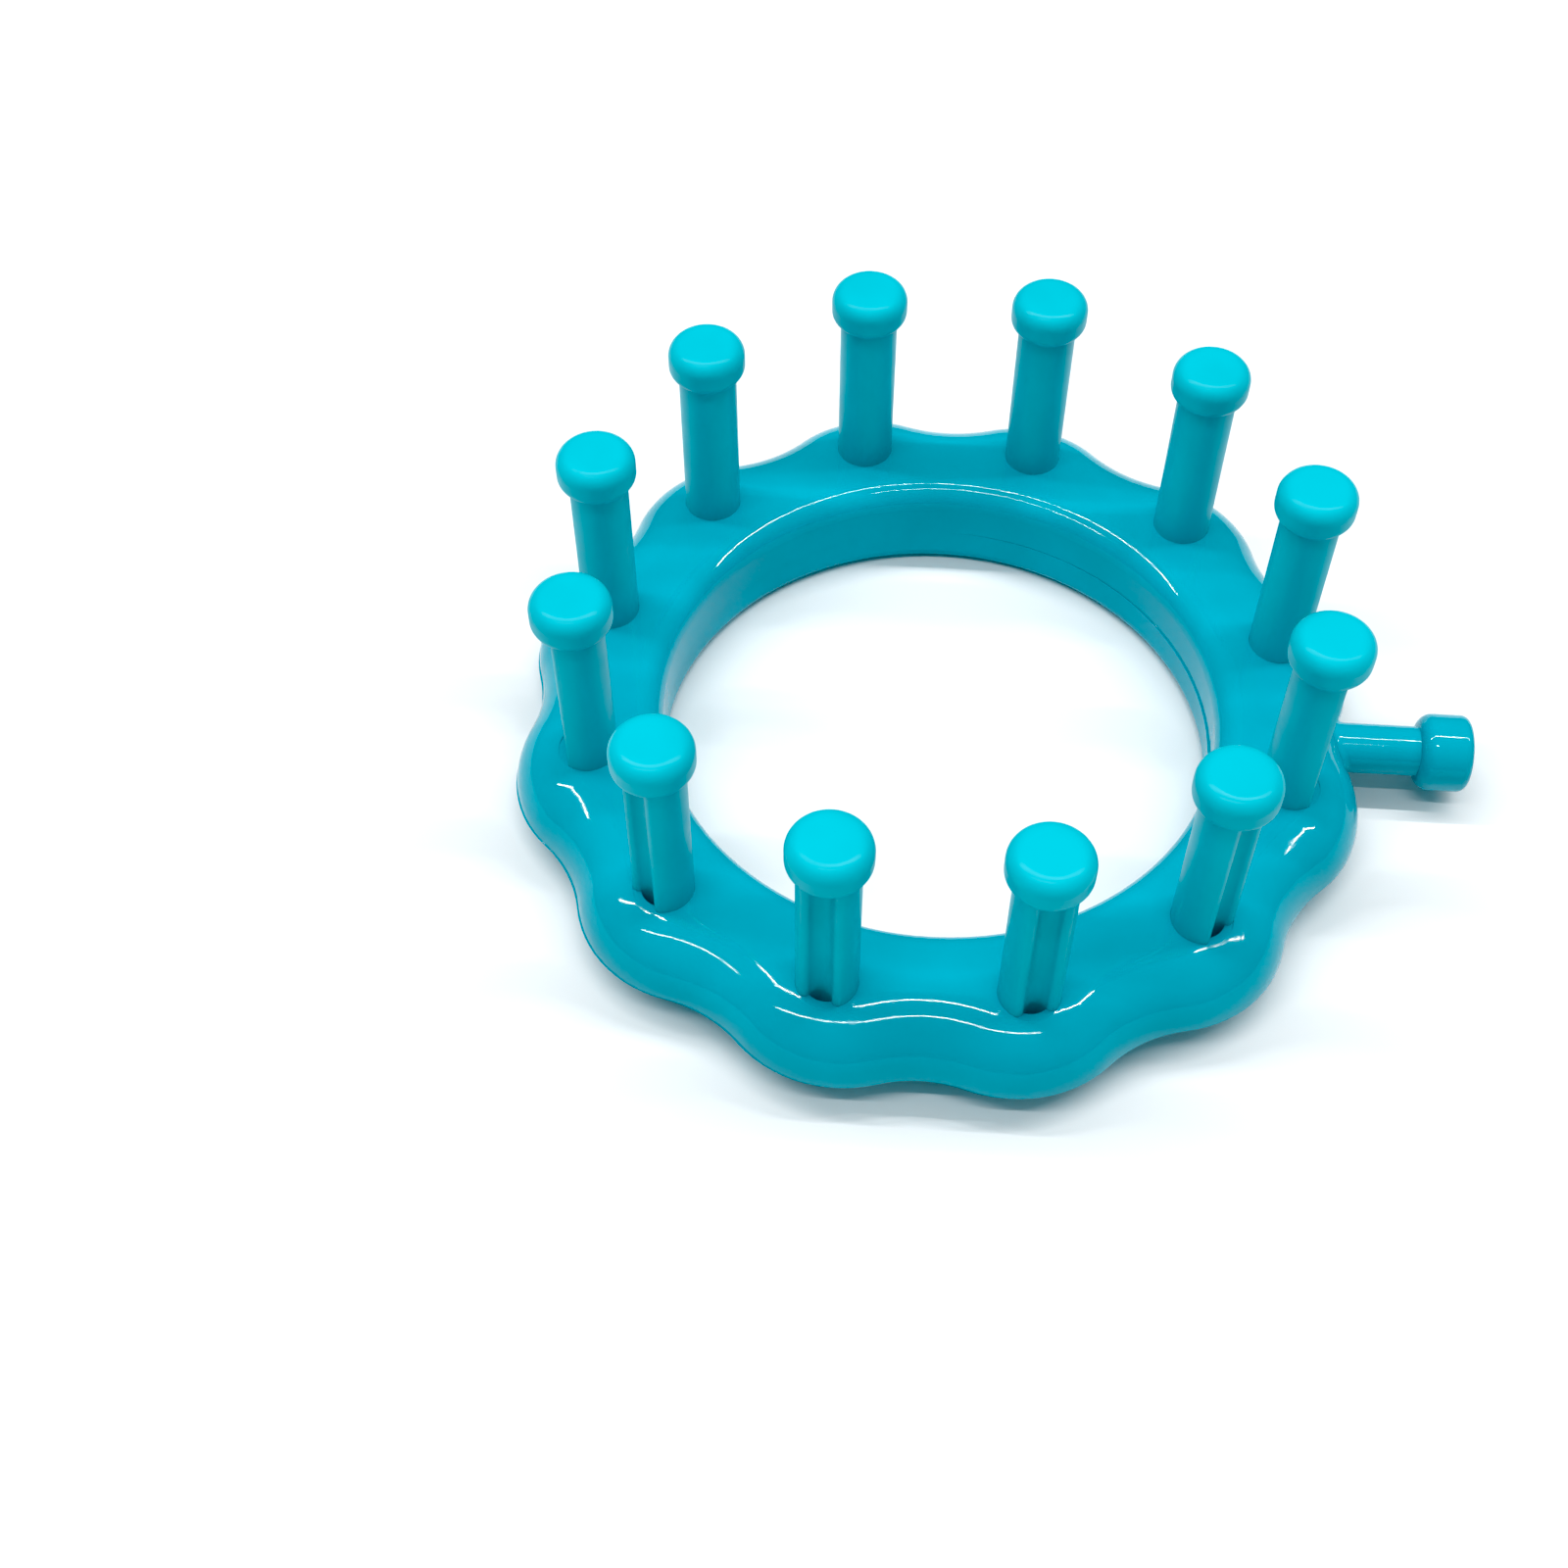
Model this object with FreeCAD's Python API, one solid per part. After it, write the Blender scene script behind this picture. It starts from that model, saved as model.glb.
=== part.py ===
import FreeCAD, Part
import math
import os

# Round knitting loom: a hollow scalloped ring made of two half shells, twelve grooved
# pegs standing in sockets in its top, and one plain peg on its side for tying the yarn.
# Millimetres. The origin is the ring's centre on the surface that the loom rests on,
# +Z is up, and +X runs out along the side peg.

# Ring
PEG_COUNT = 12
PEG_CIRCLE_R = 48.5          # centre of the ring to the centre of each peg
RING_HEIGHT = 14.4
HOLE_R = 38.0                # opening that the knitting grows down through
LOBE_TIP_R = 58.8            # outline at each peg
HOLLOW_R = 55.65             # outline half way between two pegs
LOBE_ARC_R = 16.8            # plan radius of each lobe
OUTER_TOP_ROUND = 8.1
UNDERSIDE_ROUND = 12.3       # section of the lower half, from its flat base up to the seam
INNER_TOP_ROUND = 3.4
INNER_BOTTOM_ROUND = 2.3
WALL = 2.0

# Joint between the two half shells
SEAM_Z = 6.15
SEAM_REBATE = 0.06           # hairline step along the upper half's edge, where the halves are off
LOWER_HALF_SHIFT_X = -0.2    # the lower half is glued on this much off centre
LIP_HEIGHT = 1.2
LIP_THICKNESS = 0.7
LIP_CLEARANCE = 0.3
SEAM_GAP_INSIDE = 0.2        # between tubes and ribs that face each other at the seam

# Pegs
PEG_TOP_Z = 44.8
PEG_FOOT_Z = 3.0
STEM_R = 3.985
CAP_R = 5.27
CAP_TOP_ROUND = 2.1
CAP_SHOULDER_ROUND = 1.6
CAP_HEIGHT = 5.2
GROOVE_R = 1.6               # round bottom of the groove that the hook slides down
GROOVE_AXIS_R = 3.2          # axis of the peg to the centre of that round
GROOVE_EDGE_ROUND = 0.85
SPIGOT_R = 2.93              # the thinner foot of the peg, below its shoulder
FOOT_CHAMFER = 0.5

# Seats and sockets that hold the pegs
SEAT_Z = 14.15               # the peg's shoulder rests here, just below the ring's top
SEAT_CLEARANCE = 0.02
SOCKET_WALL = 1.4
SOCKET_CLEARANCE = 0.02
CUP_CLEARANCE = 0.3
KEY_WIDTH = 2.2
KEY_TOP_Z = 10.7
KEY_REACH = 0.8              # how far the key stands into the peg's groove

# Side peg
SIDE_AXIS_Z = 7.3
SIDE_STEM_R = 3.445
SIDE_HEAD_R = 5.32
SIDE_HEAD_START_X = 66.2
SIDE_HEAD_END_X = 73.1
SIDE_END_ROUND = 1.2
SIDE_SHOULDER_ROUND = 1.9
SIDE_ROOT_ROUND = 1.0
SIDE_FLANGE_R = 4.2
SIDE_FLANGE_THICKNESS = 1.6
SIDE_FLANGE_GAP = 0.15
SIDE_FLANGE_CLEARANCE = 0.1
SIDE_CLEARANCE = 0.02
BOSS_DEPTH = 1.6             # how far the boss round the side peg stands inside the wall
BOSS_WIDTH = 11.0
KEEPER_THICKNESS = 1.5
KEEPER_WIDTH = 10.0

STEP_ANGLE = 360.0 / PEG_COUNT
MARGIN = 1.0                 # how far cutting tools run past the faces that they cut
NEAR = 1e-3                  # points closer than this are the same point
LEAN = math.sqrt(0.5)        # sine and cosine of 45 degrees, the middle of a quarter round
UP = FreeCAD.Vector(0, 0, 1)
ORIGIN = FreeCAD.Vector(0, 0, 0)


def vec(x, y, z=0.0):
    return FreeCAD.Vector(x, y, z)


def polar(radius, degrees):
    angle = math.radians(degrees)
    return vec(radius * math.cos(angle), radius * math.sin(angle))


def peg_angle(index):
    return (index + 0.5) * STEP_ANGLE


def tube(outer_r, inner_r, bottom, top, centre):
    base = vec(centre.x, centre.y, bottom)
    outside = Part.makeCylinder(outer_r, top - bottom, base)
    inside = Part.makeCylinder(inner_r, top - bottom, base)
    return outside.cut(inside)


def box(x_range, y_range, z_range):
    size = [high - low for low, high in (x_range, y_range, z_range)]
    return Part.makeBox(*size, vec(x_range[0], y_range[0], z_range[0]))


def layer(bottom, top):
    """A block wider than the whole ring."""
    side = (-2 * LOBE_TIP_R, 2 * LOBE_TIP_R)
    return box(side, side, (bottom, top))


def solid_of(shape):
    """The single solid that a boolean leaves, with coplanar faces merged."""
    clean = shape.removeSplitter()
    assert len(clean.Solids) == 1, "expected one solid"
    return clean.Solids[0]


# ---- Ring outline ----

def lobe_centre_radius():
    return LOBE_TIP_R - LOBE_ARC_R


def hollow_arc_radius():
    """Radius of the arc that joins two lobes, tangent to both, through HOLLOW_R."""
    half = math.cos(math.radians(STEP_ANGLE / 2))
    lobe = lobe_centre_radius()
    top = LOBE_ARC_R ** 2 - lobe ** 2 - HOLLOW_R ** 2 + 2 * lobe * HOLLOW_R * half
    return top / (2 * (HOLLOW_R - lobe * half - LOBE_ARC_R))


def outline(inset, z):
    """The scalloped outline, moved inwards by inset, as one closed wire of arcs."""
    hollow_r = hollow_arc_radius()
    reach = (LOBE_ARC_R - inset) / (LOBE_ARC_R + hollow_r)
    edges = []
    for index in range(PEG_COUNT):
        angle = peg_angle(index)
        lobe = polar(lobe_centre_radius(), angle)
        before = polar(HOLLOW_R + hollow_r, angle - STEP_ANGLE / 2)
        after = polar(HOLLOW_R + hollow_r, angle + STEP_ANGLE / 2)
        next_lobe = polar(lobe_centre_radius(), angle + STEP_ANGLE)
        start = lobe + (before - lobe) * reach
        end = lobe + (after - lobe) * reach
        following = next_lobe + (after - next_lobe) * reach
        tip = polar(LOBE_TIP_R - inset, angle)
        dip = polar(HOLLOW_R - inset, angle + STEP_ANGLE / 2)
        edges.append(Part.Arc(start, tip, end).toShape())
        edges.append(Part.Arc(end, dip, following).toShape())
    wire = Part.Wire(edges)
    wire.translate(UP * z)
    return wire


def slab(inset, bottom, top):
    """A plate with the scalloped outline, with no hole."""
    face = Part.Face(outline(inset, bottom))
    return face.extrude(UP * (top - bottom))


def hole_tool(radius, bottom, top, bottom_round, top_round):
    """What the opening takes away, flaring outwards at its rounded rims."""
    low_z = bottom - MARGIN
    high_z = top + MARGIN
    low_rim = vec(radius + bottom_round, 0, bottom)
    low_mid = vec(radius + bottom_round * (1 - LEAN), 0, bottom + bottom_round * (1 - LEAN))
    low_end = vec(radius, 0, bottom + bottom_round)
    high_start = vec(radius, 0, top - top_round)
    high_mid = vec(radius + top_round * (1 - LEAN), 0, top - top_round * (1 - LEAN))
    high_rim = vec(radius + top_round, 0, top)
    edges = [
        Part.makeLine(vec(0, 0, low_z), vec(low_rim.x, 0, low_z)),
        Part.makeLine(vec(low_rim.x, 0, low_z), low_rim),
        Part.Arc(low_rim, low_mid, low_end).toShape(),
        Part.makeLine(low_end, high_start),
        Part.Arc(high_start, high_mid, high_rim).toShape(),
        Part.makeLine(high_rim, vec(high_rim.x, 0, high_z)),
        Part.makeLine(vec(high_rim.x, 0, high_z), vec(0, 0, high_z)),
        Part.makeLine(vec(0, 0, high_z), vec(0, 0, low_z)),
    ]
    return Part.Face(Part.Wire(edges)).revolve(ORIGIN, UP, 360)


def edges_at(shape, z):
    return [edge for edge in shape.Edges
            if abs(edge.BoundBox.ZMin - z) < NEAR and abs(edge.BoundBox.ZMax - z) < NEAR]


def upper_body(inset, bottom):
    """The scalloped outline at an inset, raised to the top, with its upper edge rounded."""
    top = RING_HEIGHT - inset
    body = slab(inset, bottom, top)
    return body.makeFillet(OUTER_TOP_ROUND - inset, edges_at(body, top))


def lower_body(inset, top):
    """The ring below its seam, leaning in along one large round to its flat base."""
    half_width = math.sqrt(UNDERSIDE_ROUND ** 2 - (UNDERSIDE_ROUND - SEAM_Z) ** 2)
    bulge = UNDERSIDE_ROUND - half_width
    body = slab(inset - bulge, inset, UNDERSIDE_ROUND + MARGIN)
    body = body.makeFillet(UNDERSIDE_ROUND - inset, edges_at(body, inset))
    return body.cut(layer(top, UNDERSIDE_ROUND + 2 * MARGIN))


def opening(inset):
    """What the ring's opening takes away: inset 0 for the outside, WALL for the hollow."""
    return hole_tool(HOLE_R + inset, inset, RING_HEIGHT - inset,
                     INNER_BOTTOM_ROUND - inset, INNER_TOP_ROUND - inset)


def wall_band(inset_from, inset_to, bottom, top):
    """Bands that follow the outer wall and the inner wall at the given insets."""
    outer = slab(inset_from, bottom, top).cut(slab(inset_to, bottom, top))
    inner = tube(HOLE_R + inset_to, HOLE_R + inset_from, bottom, top, ORIGIN)
    return outer.fuse(inner)


# ---- Side peg ----

def side_peg_blank(radius, start_x, end_x):
    return Part.makeCylinder(radius, end_x - start_x, vec(start_x, 0, SIDE_AXIS_Z), vec(1, 0, 0))


def side_head():
    """Rounded head of the side peg, turned about the X direction."""
    shoulder_r = SIDE_HEAD_R - SIDE_SHOULDER_ROUND
    shoulder_x = SIDE_HEAD_START_X + SIDE_SHOULDER_ROUND
    end_x = SIDE_HEAD_END_X - SIDE_END_ROUND
    flat_r = SIDE_HEAD_R - SIDE_END_ROUND
    axis_start = vec(SIDE_HEAD_START_X, 0, 0)
    axis_end = vec(SIDE_HEAD_END_X, 0, 0)
    shoulder_mid = vec(shoulder_x - SIDE_SHOULDER_ROUND * LEAN, 0,
                       shoulder_r + SIDE_SHOULDER_ROUND * LEAN)
    end_mid = vec(end_x + SIDE_END_ROUND * LEAN, 0, flat_r + SIDE_END_ROUND * LEAN)
    edges = [
        Part.makeLine(axis_start, vec(SIDE_HEAD_START_X, 0, shoulder_r)),
        Part.Arc(vec(SIDE_HEAD_START_X, 0, shoulder_r), shoulder_mid,
                 vec(shoulder_x, 0, SIDE_HEAD_R)).toShape(),
        Part.makeLine(vec(shoulder_x, 0, SIDE_HEAD_R), vec(end_x, 0, SIDE_HEAD_R)),
        Part.Arc(vec(end_x, 0, SIDE_HEAD_R), end_mid,
                 vec(SIDE_HEAD_END_X, 0, flat_r)).toShape(),
        Part.makeLine(vec(SIDE_HEAD_END_X, 0, flat_r), axis_end),
        Part.makeLine(axis_end, axis_start),
    ]
    head = Part.Face(Part.Wire(edges)).revolve(ORIGIN, vec(1, 0, 0), 360)
    head.translate(UP * SIDE_AXIS_Z)
    return head


def boss_back_x():
    return HOLLOW_R - WALL - BOSS_DEPTH


def flange_start_x():
    return boss_back_x() - SIDE_FLANGE_GAP - SIDE_FLANGE_THICKNESS


def side_flange():
    """Flange behind the ring's boss, which keeps the side peg from pulling out."""
    start = flange_start_x()
    return side_peg_blank(SIDE_FLANGE_R, start, start + SIDE_FLANGE_THICKNESS)


def near_side_stem(edge):
    """True for an edge of the curve where the side peg meets the ring's wall."""
    for vertex in edge.Vertexes:
        off_axis = math.hypot(vertex.Point.y, vertex.Point.z - SIDE_AXIS_Z)
        if abs(off_axis - SIDE_STEM_R) > NEAR or vertex.Point.x > HOLLOW_R + MARGIN:
            return False
    return True


def side_stem():
    """Stem with the concave sweep at its root, as if the wall ran straight down."""
    wall = upper_body(0, 0)
    stem = side_peg_blank(SIDE_STEM_R, HOLLOW_R - WALL, SIDE_HEAD_START_X + MARGIN)
    joined = wall.fuse(stem)
    root = [edge for edge in joined.Edges if near_side_stem(edge)]
    swept = joined.makeFillet(SIDE_ROOT_ROUND, root)
    return swept.cut(wall)


def side_peg():
    through_wall = side_peg_blank(SIDE_STEM_R, flange_start_x(), SIDE_HEAD_START_X + MARGIN)
    outside = side_stem()
    return solid_of(outside.fuse([through_wall, side_flange(), side_head()]))


def side_peg_room():
    """The round way through the wall for the stem, and the pocket for the flange."""
    passage = side_peg_blank(SIDE_STEM_R + SIDE_CLEARANCE, flange_start_x(), LOBE_TIP_R)
    pocket_start = flange_start_x() - SIDE_FLANGE_CLEARANCE
    pocket_end = flange_start_x() + SIDE_FLANGE_THICKNESS + SIDE_FLANGE_CLEARANCE
    pocket = side_peg_blank(SIDE_FLANGE_R + SIDE_FLANGE_CLEARANCE, pocket_start, pocket_end)
    return passage.fuse(pocket)


def side_peg_pad():
    """Round pad on the leaning lower wall, level with the upper wall, behind the sweep."""
    radius = SIDE_STEM_R + SIDE_ROOT_ROUND
    return side_peg_blank(radius, boss_back_x(), LOBE_TIP_R).common(slab(0, 0, SEAM_Z))


def side_peg_supports(ring, bottom, top):
    """Boss that thickens the wall round the stem, and a rib close behind the flange."""
    boss = box((boss_back_x(), LOBE_TIP_R), (-BOSS_WIDTH / 2, BOSS_WIDTH / 2), (bottom, top))
    back = flange_start_x() - SIDE_FLANGE_GAP
    rib = box((back - KEEPER_THICKNESS, back), (-KEEPER_WIDTH / 2, KEEPER_WIDTH / 2),
              (bottom, top))
    return boss.common(ring).fuse(rib.common(ring))


# ---- Ring halves ----

def at_each_peg(shape):
    """Copies of a shape drawn at the +X side of the peg circle, one turned to each peg."""
    copies = []
    for index in range(PEG_COUNT):
        copy = shape.copy()
        copy.rotate(ORIGIN, UP, peg_angle(index))
        copies.append(copy)
    return copies


def sockets():
    """Tubes that hang from the ring's top, one round each peg."""
    outer = SPIGOT_R + SOCKET_CLEARANCE + SOCKET_WALL
    bottom = SEAM_Z + SEAM_GAP_INSIDE
    base = vec(PEG_CIRCLE_R, 0, bottom)
    return at_each_peg(Part.makeCylinder(outer, RING_HEIGHT + MARGIN - bottom, base))


def cups():
    """Short tubes on the ring's floor that keep the feet of the pegs from leaning."""
    bore = SPIGOT_R + CUP_CLEARANCE
    top = SEAM_Z - SEAM_GAP_INSIDE
    return at_each_peg(tube(bore + SOCKET_WALL, bore, WALL / 2, top, vec(PEG_CIRCLE_R, 0)))


def socket_bores():
    """Round peg holes with a key on the outward side of each, and a seat at the top."""
    radius = SPIGOT_R + SOCKET_CLEARANCE
    bore = Part.makeCylinder(radius, RING_HEIGHT, vec(PEG_CIRCLE_R, 0, SEAM_Z - MARGIN))
    key = box((PEG_CIRCLE_R + radius - KEY_REACH, PEG_CIRCLE_R + radius + MARGIN),
              (-KEY_WIDTH / 2, KEY_WIDTH / 2), (SEAM_Z - MARGIN, KEY_TOP_Z))
    seat = Part.makeCylinder(STEM_R + SEAT_CLEARANCE, MARGIN, vec(PEG_CIRCLE_R, 0, SEAT_Z))
    return at_each_peg(bore.cut(key).fuse(seat))


def upper_half():
    """Top shell: scalloped top and sides, with the peg sockets inside it."""
    outside = upper_body(0, 0).cut(opening(0))
    hollow = upper_body(WALL, WALL).cut(opening(WALL))
    fixtures = [socket.common(outside) for socket in sockets()]
    fixtures.append(side_peg_supports(outside, SEAM_Z + SEAM_GAP_INSIDE, RING_HEIGHT))
    shell = outside.cut(hollow).fuse(fixtures).cut(side_peg_room())
    shell = shell.cut(layer(-MARGIN, SEAM_Z))
    step_top = SEAM_Z + SEAM_REBATE
    step_bottom = SEAM_Z - MARGIN
    kept = slab(0, step_bottom, step_top)
    kept.translate(vec(SEAM_REBATE, 0))
    outer_step = slab(-MARGIN, step_bottom, step_top).cut(kept)
    inner_step = Part.makeCylinder(HOLE_R, step_top - step_bottom,
                                   vec(SEAM_REBATE, 0, step_bottom))
    lip_room = wall_band(WALL - LIP_THICKNESS - LIP_CLEARANCE, WALL + MARGIN,
                         step_bottom, SEAM_Z + LIP_HEIGHT + LIP_CLEARANCE)
    shell = shell.cut(outer_step).cut(inner_step).cut(lip_room)
    return solid_of(shell.cut(socket_bores()))


def lower_half():
    """Bottom shell: flat underside, leaning outer wall, the lip and the peg cups."""
    outside = lower_body(0, SEAM_Z).cut(opening(0))
    hollow = lower_body(WALL, SEAM_Z + MARGIN).cut(opening(WALL))
    lip = wall_band(WALL - LIP_THICKNESS, WALL, SEAM_Z - MARGIN, SEAM_Z + LIP_HEIGHT)
    supports = side_peg_supports(outside, WALL / 2, SEAM_Z - SEAM_GAP_INSIDE)
    fixtures = [lip, supports, side_peg_pad()] + [cup.common(outside) for cup in cups()]
    shell = outside.cut(hollow).fuse(fixtures)
    lip_gap = box((HOLLOW_R - WALL - MARGIN, LOBE_TIP_R),
                  (-SIDE_FLANGE_R - MARGIN, SIDE_FLANGE_R + MARGIN),
                  (SEAM_Z, SEAM_Z + LIP_HEIGHT))
    shell.translate(vec(LOWER_HALF_SHIFT_X, 0))
    return solid_of(shell.cut([lip_gap, side_peg_room()]))


# ---- Pegs ----

def stem_section(z):
    """Round section with a round-bottomed groove, its edges blended, on its +X side."""
    blend_r = STEM_R - GROOVE_EDGE_ROUND
    reach = GROOVE_R + GROOVE_EDGE_ROUND
    blend_x = (blend_r ** 2 + GROOVE_AXIS_R ** 2 - reach ** 2) / (2 * GROOVE_AXIS_R)
    blend_y = math.sqrt(blend_r ** 2 - blend_x ** 2)
    groove = vec(GROOVE_AXIS_R, 0, z)
    on_round = []
    on_groove = []
    edges = []
    for side in (1, -1):
        centre = vec(blend_x, side * blend_y, z)
        outwards = vec(centre.x, centre.y) / blend_r
        inwards = (groove - centre) / reach
        halfway = outwards + inwards
        halfway.normalize()
        on_round.append(centre + outwards * GROOVE_EDGE_ROUND)
        on_groove.append(centre + inwards * GROOVE_EDGE_ROUND)
        edges.append(Part.Arc(on_round[-1], centre + halfway * GROOVE_EDGE_ROUND,
                              on_groove[-1]).toShape())
    bottom = vec(GROOVE_AXIS_R - GROOVE_R, 0, z)
    edges.append(Part.Arc(on_groove[0], bottom, on_groove[1]).toShape())
    edges.append(Part.Arc(on_round[0], vec(-STEM_R, 0, z), on_round[1]).toShape())
    return Part.Face(Part.Wire(Part.__sortEdges__(edges)))


def cap():
    """Flat-topped cap with a rounded rim and a rounded shoulder that meets the stem."""
    rim_r = CAP_R - CAP_TOP_ROUND
    rim_z = PEG_TOP_Z - CAP_TOP_ROUND
    core_r = CAP_R - CAP_SHOULDER_ROUND
    core_z = PEG_TOP_Z - CAP_HEIGHT + CAP_SHOULDER_ROUND
    start_z = core_z - math.sqrt(CAP_SHOULDER_ROUND ** 2 - (STEM_R - core_r) ** 2)
    shoulder_mid = vec(core_r + CAP_SHOULDER_ROUND * LEAN, 0, core_z - CAP_SHOULDER_ROUND * LEAN)
    rim_mid = vec(rim_r + CAP_TOP_ROUND * LEAN, 0, rim_z + CAP_TOP_ROUND * LEAN)
    edges = [
        Part.makeLine(vec(0, 0, start_z), vec(STEM_R, 0, start_z)),
        Part.Arc(vec(STEM_R, 0, start_z), shoulder_mid, vec(CAP_R, 0, core_z)).toShape(),
        Part.makeLine(vec(CAP_R, 0, core_z), vec(CAP_R, 0, rim_z)),
        Part.Arc(vec(CAP_R, 0, rim_z), rim_mid, vec(rim_r, 0, PEG_TOP_Z)).toShape(),
        Part.makeLine(vec(rim_r, 0, PEG_TOP_Z), vec(0, 0, PEG_TOP_Z)),
        Part.makeLine(vec(0, 0, PEG_TOP_Z), vec(0, 0, start_z)),
    ]
    return Part.Face(Part.Wire(edges)).revolve(ORIGIN, UP, 360), start_z


def spigot():
    """Foot of the peg: thinner than the stem, chamfered, with the groove run on down it."""
    bottom = vec(0, 0, PEG_FOOT_Z)
    foot = Part.makeCone(SPIGOT_R - FOOT_CHAMFER, SPIGOT_R, FOOT_CHAMFER, bottom)
    shank_start = bottom + UP * FOOT_CHAMFER
    shank = Part.makeCylinder(SPIGOT_R, SEAT_Z - shank_start.z, shank_start)
    groove_start = vec(GROOVE_AXIS_R, 0, PEG_FOOT_Z - MARGIN)
    groove = Part.makeCylinder(GROOVE_R, SEAT_Z - groove_start.z, groove_start)
    return foot.fuse(shank).cut(groove)


def peg():
    """One peg on the Z axis at its height in the ring, its groove towards +X."""
    head, stem_top = cap()
    stem = stem_section(SEAT_Z).extrude(UP * (stem_top - SEAT_Z))
    return solid_of(stem.fuse([spigot(), head]))


def main():
    os.makedirs("parts", exist_ok=True)
    parts = {
        "ring_upper_half": upper_half(),
        "ring_lower_half": lower_half(),
        "side_peg": side_peg(),
    }
    for index in range(PEG_COUNT):
        piece = peg()
        piece.translate(vec(PEG_CIRCLE_R, 0))
        piece.rotate(ORIGIN, UP, peg_angle(index))
        parts["peg_%02d" % (index + 1)] = piece
    for name, shape in parts.items():
        assert shape.isValid(), name
        shape.exportStep("parts/%s.step" % name)
        print(name, round(shape.Volume, 1), "mm3")


main()
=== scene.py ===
"""Looks of the round knitting loom: moulded turquoise plastic on a white table.

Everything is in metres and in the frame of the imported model: the origin is the ring's
centre on the table, +Z is up and +X runs out along the side peg.
"""

import math

import bpy
from mathutils import Matrix

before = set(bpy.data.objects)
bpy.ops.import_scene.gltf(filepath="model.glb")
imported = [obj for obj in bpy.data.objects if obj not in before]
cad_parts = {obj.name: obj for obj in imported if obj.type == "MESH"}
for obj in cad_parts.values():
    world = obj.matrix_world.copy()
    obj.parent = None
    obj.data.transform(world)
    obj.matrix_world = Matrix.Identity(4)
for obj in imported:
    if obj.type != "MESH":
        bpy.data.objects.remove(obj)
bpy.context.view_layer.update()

MM = 0.001

# Camera
CAMERA_PLACE = (-0.00668, -0.18416, 0.24012)
CAMERA_AZIMUTH = 4.77        # degrees; 0 looks along +Y
CAMERA_ELEVATION = 53.47     # degrees above the table
CAMERA_ROLL = -0.66          # degrees
CAMERA_LENS = 48.6           # millimetres, like the sensor
CAMERA_SENSOR = 36.0
CAMERA_SHIFT = (0.0026, 0.0023)
CAMERA_NEAR = 0.01
CAMERA_FAR = 10.0

# Studio: two strip lights overhead in a white room, with powers in watts
STRIP_HEIGHT = 0.90
STRIP_WIDTH = 0.012
FAR_STRIP_PLACE = (0.0, 0.16)
FAR_STRIP_LENGTH = 2.0
FAR_STRIP_POWER = 11.0
NEAR_STRIP_PLACE = (-0.23, -0.30)
NEAR_STRIP_LENGTH = 1.0
NEAR_STRIP_POWER = 3.8
ROOM_COLOUR = (0.93, 0.98, 1.0, 1.0)
CEILING_STRENGTH = 0.62
HORIZON_STRENGTH = 0.05
TABLE_COLOUR = (0.77, 0.795, 0.81, 1.0)
TABLE_ROUGHNESS = 0.9
TABLE_SPECULAR = 0.1
TABLE_SIZE = 4.0

# Picture levels: how a phone's vivid setting deepens shadows and clears the whites
BLACK_LEVEL = (0.055, 0.015, 0.01)
WHITE_LEVEL = (1.0, 1.0, 1.0)

# Plastics: linear colours, the roughness of the shiniest and the dullest patches, how
# strongly they reflect, and the heights of the slow ripples and the fine grain
RING_COLOUR = (0.0, 0.325, 0.435)
RING_GLOSS = (0.045, 0.09)
RING_SPECULAR = 0.36
RING_GRAIN = 0.0012 * MM
PEG_COLOUR = (0.0, 0.415, 0.515)
PEG_GLOSS = (0.30, 0.42)
PEG_SPECULAR = 0.26
PEG_GRAIN = 0.004 * MM
RIPPLE = 0.02 * MM

# Sizes of the plastic's patterns
CLOUD_SIZE = 14 * MM
FLECK_SIZE = 0.35 * MM
PATCH_SIZE = 6 * MM
RUB_SIZE = 1.2 * MM
RUB_STRETCH = (1, 0.08, 1)
RIPPLE_SIZE = 5 * MM
GRAIN_SIZE = 0.6 * MM

# The colour of the darkest and lightest clouds and of the flecks, as parts of the plastic's
CLOUD_DARK = 0.955
CLOUD_LIGHT = 1.04
FLECK_SHADE = 0.90

# Where each pattern starts and ends in the noise, and how much it then does
MIDDLE_OF_NOISE = (0.3, 0.7)
FLECK_RANGE = (0.70, 0.80)
FLECK_STRENGTH = 0.35
RUB_RANGE = (0.62, 0.75)
RUB_ROUGHNESS = 0.10

SHADER = "Principled BSDF"
SPECULAR = "Specular IOR Level"
MIX_COLOURS = (6, 7)         # a colour Mix node's two colour inputs
MIX_RESULT = 2               # and its colour output


# ---- Camera, table and lights ----

def make_camera():
    """Looks down at the ring from the front, with the side peg on the right."""
    data = bpy.data.cameras.new("camera")
    data.sensor_width = CAMERA_SENSOR
    data.lens = CAMERA_LENS
    data.shift_x, data.shift_y = CAMERA_SHIFT
    data.clip_start = CAMERA_NEAR
    data.clip_end = CAMERA_FAR
    camera = bpy.data.objects.new("camera", data)
    bpy.context.scene.collection.objects.link(camera)
    turn = (
        Matrix.Rotation(math.radians(CAMERA_AZIMUTH), 4, "Z")
        @ Matrix.Rotation(math.radians(90 - CAMERA_ELEVATION), 4, "X")
        @ Matrix.Rotation(math.radians(CAMERA_ROLL), 4, "Z")
    )
    camera.matrix_world = Matrix.Translation(CAMERA_PLACE) @ turn
    bpy.context.scene.camera = camera


def set_levels():
    settings = bpy.context.scene.view_settings
    settings.view_transform = "Standard"
    settings.use_curve_mapping = True
    settings.curve_mapping.black_level = BLACK_LEVEL
    settings.curve_mapping.white_level = WHITE_LEVEL
    settings.curve_mapping.update()


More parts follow.
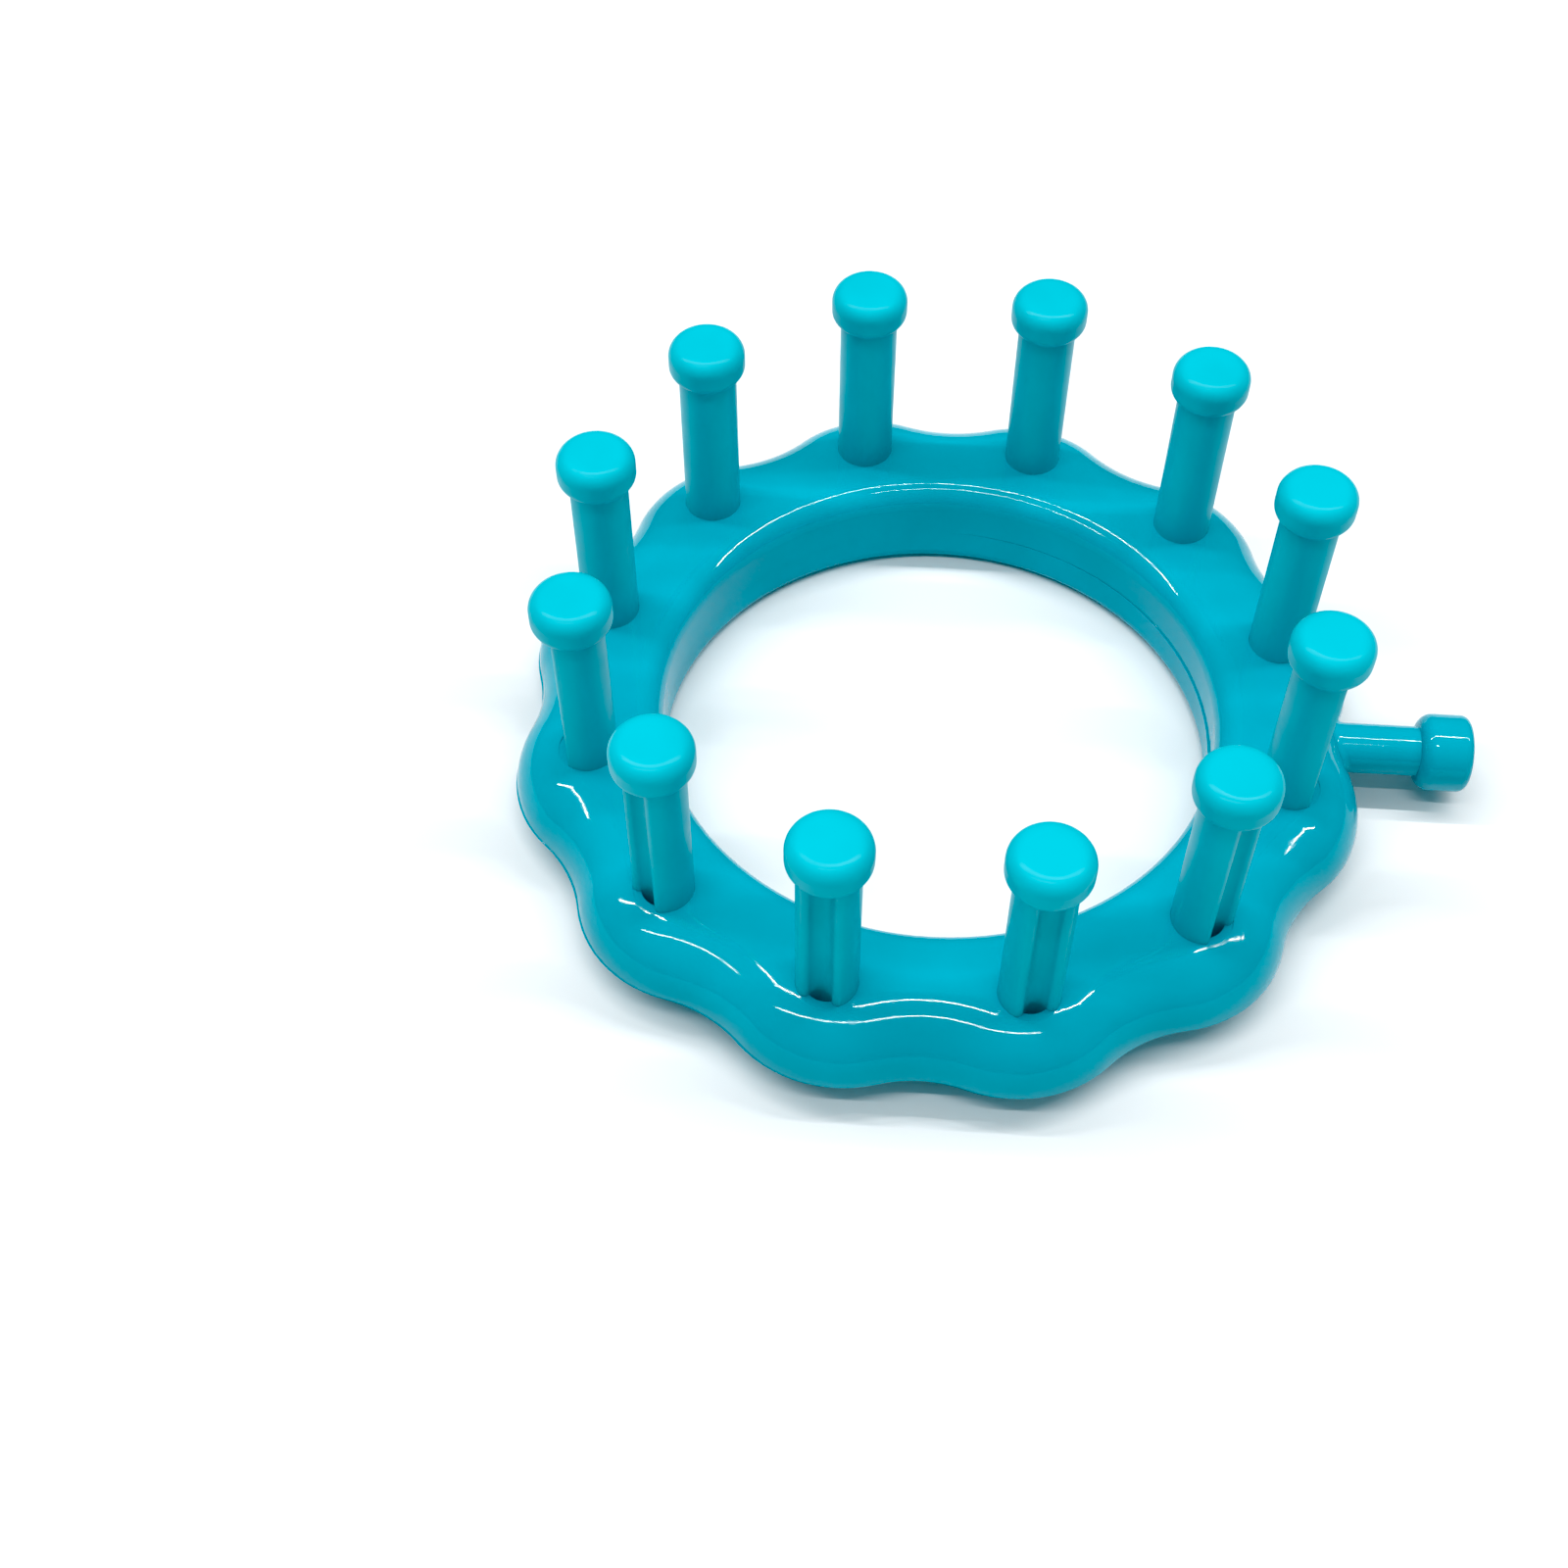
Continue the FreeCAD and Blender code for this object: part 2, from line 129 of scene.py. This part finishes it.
def make_table():
    mesh = bpy.data.meshes.new("table")
    half = TABLE_SIZE / 2
    corners = [(-half, -half, 0), (half, -half, 0), (half, half, 0), (-half, half, 0)]
    mesh.from_pydata(corners, [], [(0, 1, 2, 3)])
    table = bpy.data.objects.new("table", mesh)
    bpy.context.scene.collection.objects.link(table)
    material = bpy.data.materials.new("table")
    material.use_nodes = True
    shader = material.node_tree.nodes[SHADER]
    shader.inputs["Base Color"].default_value = TABLE_COLOUR
    shader.inputs["Roughness"].default_value = TABLE_ROUGHNESS
    shader.inputs[SPECULAR].default_value = TABLE_SPECULAR
    mesh.materials.append(material)


def make_strip(name, place, length, power):
    """A long thin lamp along X that shines straight down."""
    data = bpy.data.lights.new(name, "AREA")
    data.shape = "RECTANGLE"
    data.size = length
    data.size_y = STRIP_WIDTH
    data.energy = power
    light = bpy.data.objects.new(name, data)
    bpy.context.scene.collection.objects.link(light)
    light.location = (*place, STRIP_HEIGHT)


def make_room():
    """Soft light from a white room, strongest from the ceiling."""
    world = bpy.data.worlds.new("room")
    world.use_nodes = True
    nodes = world.node_tree.nodes
    links = world.node_tree.links
    background = nodes["Background"]
    background.inputs["Color"].default_value = ROOM_COLOUR
    direction = nodes.new("ShaderNodeTexCoord")
    split = nodes.new("ShaderNodeSeparateXYZ")
    links.new(direction.outputs["Generated"], split.inputs["Vector"])
    strength = nodes.new("ShaderNodeMapRange")
    strength.inputs["To Min"].default_value = HORIZON_STRENGTH
    strength.inputs["To Max"].default_value = CEILING_STRENGTH
    links.new(split.outputs["Z"], strength.inputs["Value"])
    links.new(strength.outputs["Result"], background.inputs["Strength"])
    bpy.context.scene.world = world


# ---- Materials ----

class Nodes:
    """Short calls that add and join shader nodes in one material."""

    def __init__(self, name):
        self.material = bpy.data.materials.new(name)
        self.material.use_nodes = True
        self.tree = self.material.node_tree
        self.shader = self.tree.nodes[SHADER]
        self.place = self.add("ShaderNodeTexCoord").outputs["Object"]

    def add(self, kind, **settings):
        node = self.tree.nodes.new(kind)
        for key, value in settings.items():
            setattr(node, key, value)
        return node

    def join(self, source, target):
        self.tree.links.new(source, target)

    def noise(self, size, detail, scale=(1, 1, 1)):
        """Noise whose blobs are about size metres across; the value is 0 to 1.

        A scale below 1 on an axis draws the blobs out along it.
        """
        mapping = self.add("ShaderNodeMapping")
        mapping.inputs["Scale"].default_value = scale
        self.join(self.place, mapping.inputs["Vector"])
        node = self.add("ShaderNodeTexNoise")
        node.inputs["Scale"].default_value = 1 / size
        node.inputs["Detail"].default_value = detail
        self.join(mapping.outputs["Vector"], node.inputs["Vector"])
        return node.outputs["Fac"]

    def remap(self, value, source, target, smooth=False):
        """Carries the range source, a low and a high, over to the range target."""
        node = self.add("ShaderNodeMapRange", clamp=True)
        if smooth:
            node.interpolation_type = "SMOOTHSTEP"
        names = ("From Min", "From Max", "To Min", "To Max")
        for name, number in zip(names, (*source, *target)):
            node.inputs[name].default_value = number
        self.join(value, node.inputs["Value"])
        return node.outputs["Result"]

    def total(self, first, second):
        node = self.add("ShaderNodeMath", operation="ADD")
        self.join(first, node.inputs[0])
        self.join(second, node.inputs[1])
        return node.outputs["Value"]

    def mix(self, factor, first, second):
        """Blends two colours, each of them three numbers or another node's output."""
        node = self.add("ShaderNodeMix", data_type="RGBA")
        self.join(factor, node.inputs["Factor"])
        for index, value in zip(MIX_COLOURS, (first, second)):
            if isinstance(value, tuple):
                node.inputs[index].default_value = (*value, 1.0)
            else:
                self.join(value, node.inputs[index])
        return node.outputs[MIX_RESULT]

    def bump(self, height, distance, after=None):
        """Tilts the surface by a height pattern, on top of an earlier bump if there is one."""
        node = self.add("ShaderNodeBump")
        node.inputs["Distance"].default_value = distance
        self.join(height, node.inputs["Height"])
        if after:
            self.join(after, node.inputs["Normal"])
        return node.outputs["Normal"]


def shade(colour, factor):
    return tuple(channel * factor for channel in colour)


def moulded_plastic(name, colour, gloss, specular, grain):
    """Moulded plastic: cloudy colour, uneven gloss, slow ripples and a fine grain.

    gloss holds the roughness of its shiniest and dullest patches, and grain is a height.
    """
    nodes = Nodes(name)
    nodes.shader.inputs[SPECULAR].default_value = specular

    clouds = nodes.remap(nodes.noise(CLOUD_SIZE, 3), MIDDLE_OF_NOISE, (0, 1), smooth=True)
    flecks = nodes.remap(nodes.noise(FLECK_SIZE, 1), FLECK_RANGE, (0, FLECK_STRENGTH))
    clouded = nodes.mix(clouds, shade(colour, CLOUD_DARK), shade(colour, CLOUD_LIGHT))
    flecked = nodes.mix(flecks, clouded, shade(colour, FLECK_SHADE))
    nodes.join(flecked, nodes.shader.inputs["Base Color"])

    patches = nodes.noise(PATCH_SIZE, 4)
    rubs = nodes.noise(RUB_SIZE, 2, RUB_STRETCH)
    scuffs = nodes.remap(rubs, RUB_RANGE, (0, RUB_ROUGHNESS))
    uneven = nodes.remap(patches, MIDDLE_OF_NOISE, gloss)
    nodes.join(nodes.total(uneven, scuffs), nodes.shader.inputs["Roughness"])

    slow = nodes.bump(nodes.noise(RIPPLE_SIZE, 1), RIPPLE)
    fine = nodes.bump(nodes.noise(GRAIN_SIZE, 2), grain, after=slow)
    nodes.join(fine, nodes.shader.inputs["Normal"])
    return nodes.material


def main():
    set_levels()
    make_camera()
    make_table()
    make_room()
    make_strip("far_strip", FAR_STRIP_PLACE, FAR_STRIP_LENGTH, FAR_STRIP_POWER)
    make_strip("near_strip", NEAR_STRIP_PLACE, NEAR_STRIP_LENGTH, NEAR_STRIP_POWER)

    ring = moulded_plastic(
        "ring_plastic_look", RING_COLOUR, RING_GLOSS, RING_SPECULAR, RING_GRAIN)
    peg = moulded_plastic(
        "peg_plastic_look", PEG_COLOUR, PEG_GLOSS, PEG_SPECULAR, PEG_GRAIN)
    for name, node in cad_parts.items():
        node.data.materials.clear()
        node.data.materials.append(peg if name.startswith("peg_") else ring)


main()
